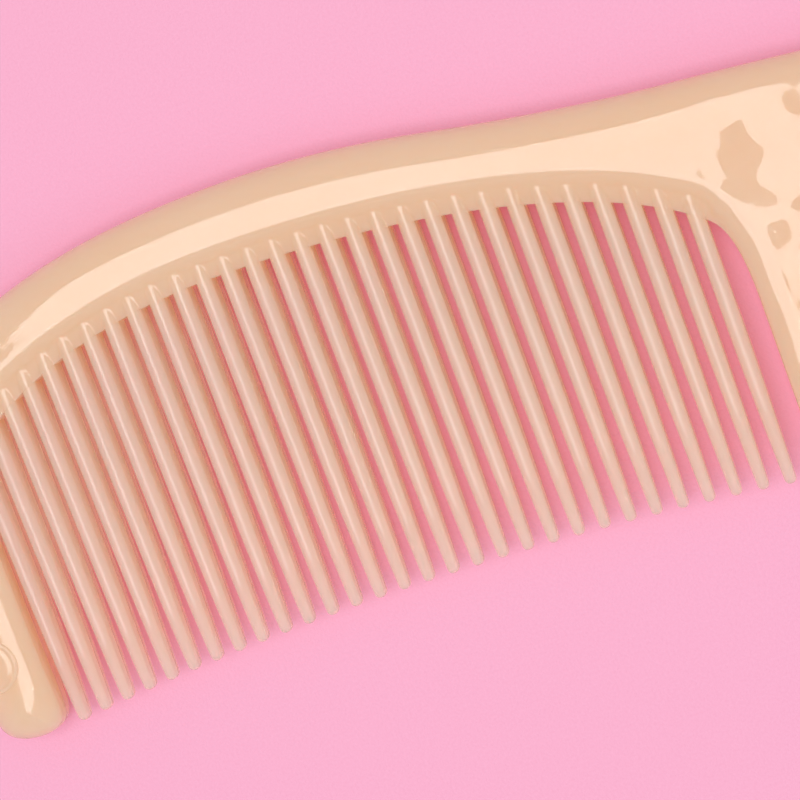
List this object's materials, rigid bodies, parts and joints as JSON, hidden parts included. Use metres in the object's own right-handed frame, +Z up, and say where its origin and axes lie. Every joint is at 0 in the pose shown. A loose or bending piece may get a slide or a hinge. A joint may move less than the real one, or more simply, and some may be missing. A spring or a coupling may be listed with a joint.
{
  "type": "wide tooth comb",
  "caption": "Moulded translucent plastic hair comb with a curved spine, one row of long wide-spaced teeth between two guards, and a handle in line with the spine.",
  "frame": {"origin": "bottom centre of the bounding box, with the comb lying flat", "axes": "+X along the comb from its front end to the handle's end, +Y from the tooth tips to the back, +Z up out of the table"},
  "size_m": [0.222, 0.0623, 0.0083],
  "materials": {
    "comb_plastic": "glossy translucent cream moulding",
    "tooth_plastic": "glossy translucent cream, thinner and paler towards the tips"
  },
  "bodies": {
    "root": {"spine": "comb_plastic", "front_guard": "comb_plastic", "rear_guard": "comb_plastic", "handle": "comb_plastic", "roundel": "comb_plastic", "tooth_01": "tooth_plastic", "tooth_02": "tooth_plastic", "tooth_03": "tooth_plastic", "tooth_04": "tooth_plastic", "tooth_05": "tooth_plastic", "tooth_06": "tooth_plastic", "tooth_07": "tooth_plastic", "tooth_08": "tooth_plastic", "tooth_09": "tooth_plastic", "tooth_10": "tooth_plastic", "tooth_11": "tooth_plastic", "tooth_12": "tooth_plastic", "tooth_13": "tooth_plastic", "tooth_14": "tooth_plastic", "tooth_15": "tooth_plastic", "tooth_16": "tooth_plastic", "tooth_17": "tooth_plastic", "tooth_18": "tooth_plastic", "tooth_19": "tooth_plastic", "tooth_20": "tooth_plastic", "tooth_21": "tooth_plastic", "tooth_22": "tooth_plastic", "tooth_23": "tooth_plastic", "tooth_24": "tooth_plastic", "tooth_25": "tooth_plastic", "tooth_26": "tooth_plastic", "tooth_27": "tooth_plastic", "tooth_28": "tooth_plastic", "tooth_29": "tooth_plastic", "tooth_30": "tooth_plastic"}
  },
  "joints": []
}
